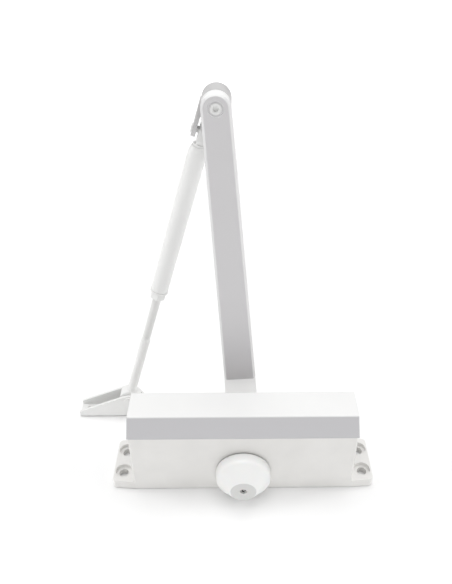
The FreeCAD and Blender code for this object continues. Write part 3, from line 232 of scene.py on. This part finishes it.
paintedFastener = powderCoat("paintedFastener", {
    "light": (0.86, 0.86, 0.85), "dark": (0.78, 0.78, 0.77), "dust": (0.25, 0.25, 0.24),
    "driftScale": 160, "fleckScale": 2200, "fleckShare": 0.3,
    "roughness": (0.28, 0.44), "coat": 0.3, "specular": 0.6,
    "peelScale": 2200, "peel": 0.25})
# painted shade: near-black walls for the cross recess
recessPaintedShade = moulded("recessPaintedShade", {
    "light": (0.06, 0.06, 0.06), "dark": (0.03, 0.03, 0.03), "driftScale": 200,
    "roughness": (0.5, 0.7), "glow": 0.0, "skinScale": 2400, "skin": 0.3})
groundSteel = metal("groundSteel", {
    "light": (0.42, 0.42, 0.43), "dark": (0.30, 0.30, 0.31), "stain": (0.16, 0.14, 0.12),
    "stainShare": 0.35, "grainScale": 500, "grainStretch": (0.15, 4, 4), "blotchScale": 90,
    "roughness": (0.22, 0.38), "bump": 0.25})
zincPlate = metal("zincPlate", {
    "light": (0.70, 0.71, 0.73), "dark": (0.58, 0.59, 0.62), "stain": (0.62, 0.60, 0.52),
    "stainShare": 0.4, "grainScale": 700, "grainStretch": (1, 1, 1), "blotchScale": 120,
    "roughness": (0.24, 0.40), "bump": 0.2})
springWire = metal("springWire", {
    "light": (0.26, 0.26, 0.28), "dark": (0.15, 0.15, 0.17), "stain": (0.10, 0.08, 0.07),
    "stainShare": 0.4, "grainScale": 420, "grainStretch": (1, 1, 1), "blotchScale": 80,
    "roughness": (0.30, 0.46), "bump": 0.35})
bearingBronze = metal("bearingBronze", {
    "light": (0.60, 0.43, 0.22), "dark": (0.47, 0.32, 0.15), "stain": (0.25, 0.17, 0.09),
    "stainShare": 0.4, "grainScale": 900, "grainStretch": (1, 1, 1), "blotchScale": 140,
    "roughness": (0.30, 0.48), "bump": 0.4})

finishes = {
    castCoat: ["housing"],
    coverCoat: ["front_cover"],
    armCoat: ["main_arm"],
    knuckleCoat: ["elbow_knuckle"],
    forearmCoat: ["forearm_tube", "tube_tongue", "tube_insert", "lock_nut", "forearm_rod",
                  "foot_bracket", "foot_pin"],
    capPlastic: ["pinion_cap"],
    clipPlastic: ["cover_clips"],
    sealRubber: ["plug_seals", "piston_seal", "valve_seals", "shaft_seals"],
    darkFastener: ["cap_screw"],
    paintedFastener: ["elbow_rivet", "tilt_pin"],
    groundSteel: ["piston", "pinion_shaft", "bearing_retainers", "check_valve_seat",
                  "check_valve_ball"],
    zincPlate: ["spring_plug", "oil_plug", "cover_clip_screws", "arm_washer", "arm_screw",
                "elbow_washer"],
    springWire: ["spring"],
    bearingBronze: ["pinion_bushes", "closing_speed_valve", "latch_speed_valve"],
}
for material, names in finishes.items():
    for name in names:
        mesh = nodes[name].data
        mesh.materials.clear()
        mesh.materials.append(material)
print("finishes on every node")


# small helpers for turned and softened pieces
sharpAngle = 32  # degrees between faces past which an edge stays crisp


def softOutline(corners, steps=5):
    points = []
    for index, (radius, along, fillet) in enumerate(corners):
        here = Vector((radius, along))
        before = Vector(corners[index - 1][:2]) - here
        after = Vector(corners[(index + 1) % len(corners)][:2]) - here
        if fillet <= 0 or radius == 0:
            points.append(here)
            continue
        half = before.angle(after) / 2
        reach = min(fillet / math.tan(half), before.length * 0.49, after.length * 0.49)
        fillet = reach * math.tan(half)
        first, last = before.normalized(), after.normalized()
        centre = here + (first + last).normalized() * (fillet / math.sin(half))
        start, end = here + first * reach - centre, here + last * reach - centre
        for step in range(steps + 1):
            points.append(centre + start.slerp(end, step / steps).normalized() * fillet)
    return points


def turned(name, corners, place, material, sides=96):
    outline = [point * mm for point in softOutline(corners)]
    shape = bmesh.new()
    rings = []
    for radius, along in outline:
        if radius < 1e-7:
            rings.append([shape.verts.new((0, 0, along))] * sides)
            continue
        rings.append([shape.verts.new((radius * math.cos(2 * pi * k / sides),
                                       radius * math.sin(2 * pi * k / sides), along))
                      for k in range(sides)])
    closed = corners[0][0] > 0
    for index in range(len(rings) if closed else len(rings) - 1):
        ring, following = rings[index], rings[(index + 1) % len(rings)]
        for k in range(sides):
            corner = []
            for vert in (ring[k], ring[(k + 1) % sides], following[(k + 1) % sides], following[k]):
                if vert not in corner:
                    corner.append(vert)
            if len(corner) > 2:
                shape.faces.new(corner)
    return finishMesh(name, shape, place, material)


def finishMesh(name, shape, place, material, sharp=sharpAngle):
    bmesh.ops.transform(shape, matrix=place, verts=shape.verts)
    bmesh.ops.recalc_face_normals(shape, faces=shape.faces)
    mesh = bpy.data.meshes.new(name)
    shape.to_mesh(mesh)
    shape.free()
    mesh.shade_smooth()
    mesh.set_sharp_from_angle(angle=math.radians(sharp))
    mesh.materials.append(material)
    piece = bpy.data.objects.new(name, mesh)
    bpy.context.scene.collection.objects.link(piece)
    return piece


# box or prism given by its corners in one plane, pushed along local Z
def prism(name, corners, low, high, place, material, soft=0, segments=3):
    shape = bmesh.new()
    bottom = [shape.verts.new((x * mm, y * mm, low * mm)) for x, y in corners]
    top = [shape.verts.new((x * mm, y * mm, high * mm)) for x, y in corners]
    shape.faces.new(bottom)
    shape.faces.new(top)
    for k in range(len(corners)):
        following = (k + 1) % len(corners)
        shape.faces.new((bottom[k], bottom[following], top[following], top[k]))
    if soft:
        bmesh.ops.bevel(shape, geom=shape.edges[:], offset=soft * mm, segments=segments,
                        profile=0.5, affect="EDGES", clamp_overlap=True)
    return finishMesh(name, shape, place, material)


def boolean(piece, tool, operation="DIFFERENCE"):
    modifier = piece.modifiers.new("cut", "BOOLEAN")
    modifier.object = tool
    modifier.operation = operation
    modifier.solver = "EXACT"
    modifier.material_mode = "TRANSFER"
    graph = bpy.context.evaluated_depsgraph_get()
    result = bpy.data.meshes.new_from_object(piece.evaluated_get(graph))
    piece.modifiers.remove(modifier)
    piece.data = result
    result.shade_smooth()
    result.set_sharp_from_angle(angle=math.radians(sharpAngle))
    bpy.data.objects.remove(tool)


def join(piece, *others):
    shape = bmesh.new()
    shape.from_mesh(piece.data)
    for other in others:
        shape.from_mesh(other.data)
        bpy.data.objects.remove(other)
    shape.to_mesh(piece.data)
    shape.free()
    piece.data.set_sharp_from_angle(angle=math.radians(sharpAngle))
    return piece


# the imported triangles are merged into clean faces, then each hard edge gets a small round
def softenEdges(name, width, segments=3, angle=sharpAngle):
    node = nodes[name]
    node.modifiers.new("merge", "WELD").merge_threshold = 1e-6
    flats = node.modifiers.new("flats", "DECIMATE")
    flats.decimate_type = "DISSOLVE"
    flats.angle_limit = math.radians(0.4)
    bevel = node.modifiers.new("round", "BEVEL")
    bevel.width = width * mm
    bevel.segments = segments
    bevel.limit_method = "ANGLE"
    bevel.angle_limit = math.radians(angle)
    bevel.miter_outer = "MITER_ARC"
    shade = node.modifiers.new("shade", "WEIGHTED_NORMAL")
    shade.keep_sharp = False
    node.data.shade_smooth()


def turnTo(origin, along, across=(0, 1, 0)):
    z = Vector(along).normalized()
    y = (Vector(across) - z * Vector(across).dot(z)).normalized()
    x = y.cross(z)
    return Matrix.Translation(Vector(origin)) @ Matrix((x, y, z)).transposed().to_4x4()


def onBody(piece, body, slotName, *replaced):
    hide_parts(*replaced)
    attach(piece, body)


# round cap over the front end of the pinion
capLook = {"rim": 7.6, "shoulder": 11.1, "shoulderRadius": 15.6, "tip": 9.0, "rimRound": 1.1,
           "shoulderRound": 4.2, "tipRound": 0.5, "wall": 2.0, "well": 2.5,
           "boss": 7.0, "roof": 2.6, "mouth": 3.0, "bore": 4.4, "boreEnd": 11.5, "screwBore": 1.7,
           "seat": 2.2, "fine": 0.3}


def buildCap(look):
    low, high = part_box("pinion_cap")
    axle = joints["arm_swing"]["pos_m"]
    radius, length = (high.x - low.x) / 2 / mm, (high.y - low.y) / mm
    place = turnTo((axle[0], high.y, axle[2]), (0, -1, 0), (0, 0, 1))
    inner = length - look["roof"]
    corners = [
        (look["well"], length, 0.25), (look["tip"], length, look["tipRound"]),
        (look["shoulderRadius"], look["shoulder"], look["shoulderRound"]),
        (radius, look["rim"], look["shoulderRound"]), (radius, 0, look["rimRound"]),
        (radius - look["wall"], 0, 0.4), (radius - look["wall"], look["rim"], 1),
        (look["shoulderRadius"] - look["wall"], look["shoulder"] - 1, 0.5),
        (look["boss"], inner, 0.5), (look["boss"], look["mouth"], look["fine"]),
        (look["bore"], look["mouth"], look["fine"]), (look["bore"], look["boreEnd"], look["fine"]),
        (look["screwBore"], look["boreEnd"], 0), (look["screwBore"], length - look["seat"], 0),
        (look["well"], length - look["seat"], 0.2)]
    cap = turned("pinionCap", corners, place, capPlastic, sides=160)
    onBody(cap, "arm", "white_cap_plastic", "pinion_cap")


# small pan screw with a cross recess
screwLook = {"head": 2.4, "headHigh": 1.8, "shank": 1.45, "turn": 0.5, "crown": 0.4,
             "slot": 0.7, "reach": 1.9, "deep": 1.3, "taper": 0.7}


def crossRecess(look, top, place):
    reach, slot = look["reach"], look["slot"] / 2
    cuts = []
    for turn in (0, pi / 2):
        spin = place @ Matrix.Rotation(turn + look["turn"], 4, "Z")
        shape = bmesh.new()
        for z, scale in ((top + 0.4, 1.1), (top - look["deep"], look["taper"])):
            for x, y in ((-1, -1), (1, -1), (1, 1), (-1, 1)):
                shape.verts.new((x * reach * scale * mm, y * slot * scale * mm, z * mm))
        shape.verts.ensure_lookup_table()
        verts = shape.verts
        shape.faces.new(verts[0:4])
        shape.faces.new(verts[4:8])
        for k in range(4):
            shape.faces.new((verts[k], verts[(k + 1) % 4], verts[(k + 1) % 4 + 4], verts[k + 4]))
        # the recess walls take the near-black painted shade
        cuts.append(finishMesh("recess", shape, spin, recessPaintedShade))
    boolean(cuts[0], cuts[1], "UNION")
    return cuts[0]


def buildCapScrew(look):
    low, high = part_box("cap_screw")
    axle = joints["arm_swing"]["pos_m"]
    length = (high.y - low.y) / mm
    place = turnTo((axle[0], high.y, axle[2]), (0, -1, 0), (0, 0, 1))
    corners = [(0, length, 0), (look["head"] * 0.45, length - 0.02, 0),
               (look["head"], length - look["crown"], 0.35),
               (look["head"], length - look["headHigh"], 0.1),
               (look["shank"], length - look["headHigh"], 0), (look["shank"], 0.3, 0.2),
               (1.0, 0, 0.1), (0, 0, 0)]
    screw = turned("capScrew", corners, place, darkFastener, sides=64)
    boolean(screw, crossRecess(look, length, place))
    onBody(screw, "arm", "painted_fastener", "cap_screw")


# hollow rivet through arm, washer and knuckle: rolled head in front, flared tail behind
rivetLook = {"hole": 1.7, "holeDeep": 2.2, "head": 3.7, "headHigh": 0.9, "shank": 3.0,
             "tail": 5.0, "tailHigh": 1.5, "roll": 0.55}


def buildRivet(look):
    low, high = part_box("elbow_rivet")
    elbow = joints["elbow_fold"]["pos_m"]
    length = (high.y - low.y) / mm
    place = turnTo((elbow[0], low.y, elbow[2]), (0, 1, 0), (0, 0, 1))
    corners = [(0, look["holeDeep"], 0), (look["hole"] - 0.3, look["holeDeep"], 0.2),
               (look["hole"], 0.25, 0.4), (look["hole"] + 0.9, 0, look["roll"]),
               (look["head"] - 0.5, 0.1, look["roll"]), (look["head"], look["headHigh"], 0.12),
               (look["shank"], look["headHigh"], 0.1),
               (look["shank"], length - look["tailHigh"], 0.1),
               (look["tail"], length - look["tailHigh"], 0.2), (look["tail"], length - 0.6, 0.4),
               (look["tail"] - 1, length, 0.7), (look["hole"], length, 0.4),
               (look["hole"] - 0.3, length - look["holeDeep"], 0.2), (0, length - look["holeDeep"], 0)]
    rivet = turned("elbowRivet", corners, place, paintedFastener)
    onBody(rivet, "arm", "painted_fastener", "elbow_rivet")


# the forearm is built along its own line, from the elbow's side towards the foot
forearmAxis = Vector(joints["rod_adjust"]["axis"]).normalized()
footPoint = Vector(joints["foot_swing"]["pos_m"])
tiltPoint = Vector(joints["forearm_tilt"]["pos_m"])
tiltReach = 20.0
forearmPlace = turnTo(tiltPoint - forearmAxis * tiltReach * mm, forearmAxis)
forearmLength = (footPoint - tiltPoint).dot(forearmAxis) / mm + tiltReach
tubeLook = {"start": 30.0, "end": 142.6, "radius": 6.0, "bore": 4.2, "shoulder": 9.0,
            "neck": 4.7, "lip": 0.5}
insertLook = {"bore": 3.05, "plug": 4.18, "plugStart": 128.0, "flangeStart": 142.6, "end": 144.2,
              "flange": 6.4}


def buildTube(look):
    start, end = look["start"], look["end"]
    corners = [(look["bore"], start, 0.2), (look["neck"], start, 0.35),
               (look["radius"] - 0.25, start + look["shoulder"] * 0.35, 3),
               (look["radius"], start + look["shoulder"], 6), (look["radius"], end, look["lip"]),
               (look["bore"], end, 0.1)]
    tube = turned("forearmTube", corners, forearmPlace, forearmCoat)
    onBody(tube, "tube", "powder_coat_steel", "forearm_tube")


def buildInsert(look):
    corners = [(look["bore"], look["plugStart"], 0.3), (look["plug"], look["plugStart"], 0.3),
               (look["plug"], look["flangeStart"], 0.1), (look["flange"], look["flangeStart"], 0.35),
               (look["flange"], look["end"], 0.35), (look["bore"], look["end"], 0.4)]
    insert = turned("tubeInsert", corners, forearmPlace, forearmCoat)
    onBody(insert, "tube", "powder_coat_steel", "tube_insert")


# hexagon nut with both faces chamfered by turning
nutLook = {"slack": 0.5, "mouth": 0.9,
           "across": 10.0, "start": 144.4, "length": 5.0, "bore": 3.05, "chamfer": 0.55}


def buildLockNut(look):
    start, end = look["start"], look["start"] + look["length"]
    corner = look["across"] / math.sqrt(3)
    hexagon = [(corner * math.cos(k * pi / 3 + pi / 6), corner * math.sin(k * pi / 3 + pi / 6))
               for k in range(6)]
    nut = prism("lockNut", hexagon, start, end, forearmPlace, forearmCoat, soft=0.12)
    chamfer = look["chamfer"]
    dome = turned("nutChamfer", [(0, start - 0.01, 0), (corner - look["slack"], start - 0.01, 0),
                                 (corner + look["slack"], start + chamfer + 0.1, 0),
                                 (corner + look["slack"], end - chamfer - 0.1, 0),
                                 (corner - look["slack"], end + 0.01, 0),
                                 (0, end + 0.01, 0)], forearmPlace, forearmCoat)
    boolean(nut, dome, "INTERSECT")
    hole = turned("nutHole", [(0, start - 1, 0), (look["bore"] + look["mouth"], start - 1, 0),
                              (look["bore"], start + look["slack"], 0),
                              (look["bore"], end - look["slack"], 0),
                              (look["bore"] + look["mouth"], end + 1, 0), (0, end + 1, 0)],
                  forearmPlace, forearmCoat)
    boolean(nut, hole)
    onBody(nut, "nut", "powder_coat_steel", "lock_nut")


# threaded rod: turned core, one swept thread, plain shank and a drilled eye
rodLook = {"start": 112.0, "threadEnd": 191.0, "runIn": 1.5, "runOut": 1.2, "crest": 3.0,
           "root": 2.5, "pitch": 1.0, "shank": 3.5, "neck": 4.3,
           "eye": 8.0, "eyeWidth": 9.8, "eyeHole": 2.55}


def sweptThread(look, perTurn=28):
    shape = bmesh.new()
    turns = (look["threadEnd"] - look["runOut"] - look["start"] - look["runIn"]) / look["pitch"]
    count = int(turns * perTurn)
    rows = []
    for k in range(count + 1):
        fade = min(1, k / perTurn, (count - k) / perTurn)
        crest = look["root"] - 0.05 + (look["crest"] - look["root"] + 0.05) * max(fade, 0.02)
        angle = 2 * pi * k / perTurn
        centre = look["start"] + look["runIn"] + look["pitch"] * k / perTurn
        row = []
        for radius, shift in ((look["root"] - 0.08, -0.47), (crest, -0.08), (crest, 0.08),
                              (look["root"] - 0.08, 0.47)):
            x, y = radius * math.cos(angle), radius * math.sin(angle)
            row.append(shape.verts.new((x * mm, y * mm, (centre + shift * look["pitch"]) * mm)))
        rows.append(row)
    for first, second in zip(rows, rows[1:]):
        for j in range(4):
            shape.faces.new((first[j], first[(j + 1) % 4], second[(j + 1) % 4], second[j]))
    shape.faces.new(rows[0])
    shape.faces.new(rows[-1])
    return finishMesh("thread", shape, forearmPlace, forearmCoat, sharp=20)


def buildRod(look):
    length = forearmLength
    corners = [(0, look["start"], 0), (look["root"], look["start"], 0.4),
               (look["root"], look["threadEnd"] - 1, 0.3), (look["shank"], look["threadEnd"], 0.25),
               (look["shank"], length - look["eye"] - 2.5, 3),
               (look["neck"], length - look["eye"] + 1.2, 1), (look["neck"], length - 4, 0),
               (0, length - 4, 0)]
    rod = turned("forearmRod", corners, forearmPlace, forearmCoat, sides=48)
    eyePlace = turnTo(footPoint - Vector((0, look["eyeWidth"] / 2 * mm, 0)), (0, 1, 0), (0, 0, 1))
    wide = look["eyeWidth"]
    eye = turned("rodEye", [(look["eyeHole"], 0, 0.3), (look["eye"], 0, 1.2),
                            (look["eye"], wide, 1.2), (look["eyeHole"], wide, 0.3)],
                 eyePlace, forearmCoat)
    boolean(eye, rod, "UNION")
    drill = turned("drill", [(0, -2, 0), (look["eyeHole"], -2, 0), (look["eyeHole"], wide + 2, 0),
                             (0, wide + 2, 0)], eyePlace, forearmCoat)
    boolean(eye, drill)
    eye.name = "forearmRod"
    join(eye, sweptThread(look))
    onBody(eye, "rod", "powder_coat_steel", "forearm_rod")


buildCap(capLook)
buildCapScrew(screwLook)
buildRivet(rivetLook)
buildTube(tubeLook)
buildInsert(insertLook)
buildLockNut(nutLook)
buildRod(rodLook)
print("turned pieces built")

softEdges = {"front_cover": 0.35, "main_arm": 0.35, "foot_bracket": 0.3, "tube_tongue": 0.3}
for name, width in softEdges.items():
    softenEdges(name, width)
print("edges softened")

floorLook = {"light": (0.97, 0.97, 0.97), "dark": (0.95, 0.95, 0.95), "size": 6.0, "drop": 0.0004,
             "fadeStart": 0.5, "fadeEnd": 1.6, "glow": 0.9}
lightLook = {
    "worldStrength": 0.36, "backdrop": 1.0,
    "above": {"power": 16.5, "size": 1.6, "place": (0.0, 0.25, 1.7)},
    "behind": {"power": 7, "size": 2.4, "place": (0.0, 2.6, 1.9)},
    "left": {"power": 6, "size": 0.9, "place": (-1.2, 0.1, 0.6)},
    "right": {"power": 6, "size": 0.9, "place": (1.2, 0.1, 0.6)},
    "front": {"power": 6.8, "size": 1.2, "place": (0.0, -1.6, 0.25)},
}
cameraLook = {"place": (-0.00266, -0.3051, 0.3767), "pitch": 54.64, "yaw": -0.516,
              "lens": 38.17, "shift": -0.0291}


# for the camera only, the floor glows to white away from the middle
def layFloor(look):
    material, tree, bsdf = newMaterial("paleFloor")
    tree.links.new(ramp(tree, grain(tree, 3), look["dark"], look["light"]), bsdf.inputs["Base Color"])
    bsdf.inputs["Roughness"].default_value = 0.9
    coord = addNode(tree, "ShaderNodeTexCoord")
    away = addNode(tree, "ShaderNodeVectorMath", operation="LENGTH")
    tree.links.new(coord.outputs["Object"], away.inputs[0])
    glow = spread(tree, away.outputs["Value"], 0, look["glow"], look["fadeStart"], look["fadeEnd"])
    seen = addNode(tree, "ShaderNodeLightPath")
    shown = addNode(tree, "ShaderNodeMath", operation="MULTIPLY")
    tree.links.new(glow, shown.inputs[0])
    tree.links.new(seen.outputs["Is Camera Ray"], shown.inputs[1])
    bsdf.inputs["Emission Color"].default_value = (1, 1, 1, 1)
    tree.links.new(shown.outputs["Value"], bsdf.inputs["Emission Strength"])
    bpy.ops.mesh.primitive_plane_add(size=look["size"], location=(0, 0, -look["drop"]))
    floor = bpy.context.object
    floor.name = "floor"
    floor.data.materials.append(material)


def aim(thing, target):
    thing.rotation_euler = (Vector(target) - thing.location).to_track_quat("-Z", "Y").to_euler()


def hangLights(look):
    world = bpy.data.worlds.new("paleRoom")
    world.use_nodes = True
    tree = world.node_tree
    seen = addNode(tree, "ShaderNodeLightPath")
    strength = spread(tree, seen.outputs["Is Camera Ray"], look["worldStrength"], look["backdrop"], 0, 1)
    tree.nodes["Background"].inputs["Color"].default_value = (1, 1, 1, 1)
    tree.links.new(strength, tree.nodes["Background"].inputs["Strength"])
    bpy.context.scene.world = world
    for name in ("above", "behind", "left", "right", "front"):
        softbox = bpy.data.lights.new(name, "AREA")
        softbox.energy = look[name]["power"]
        softbox.size = look[name]["size"]
        lamp = bpy.data.objects.new(name, softbox)
        lamp.location = look[name]["place"]
        bpy.context.scene.collection.objects.link(lamp)
        aim(lamp, (0, 0, 0.1))


def setCamera(look):
    data = bpy.data.cameras.new("camera")
    data.lens = look["lens"]
    data.shift_x = look["shift"]
    camera = bpy.data.objects.new("camera", data)
    camera.location = look["place"]
    camera.rotation_euler = (math.radians(look["pitch"]), 0, math.radians(look["yaw"]))
    bpy.context.scene.collection.objects.link(camera)
    bpy.context.scene.camera = camera


layFloor(floorLook)
hangLights(lightLook)
setCamera(cameraLook)
bpy.context.scene.view_settings.view_transform = "Standard"
print("floor, lights and camera set")
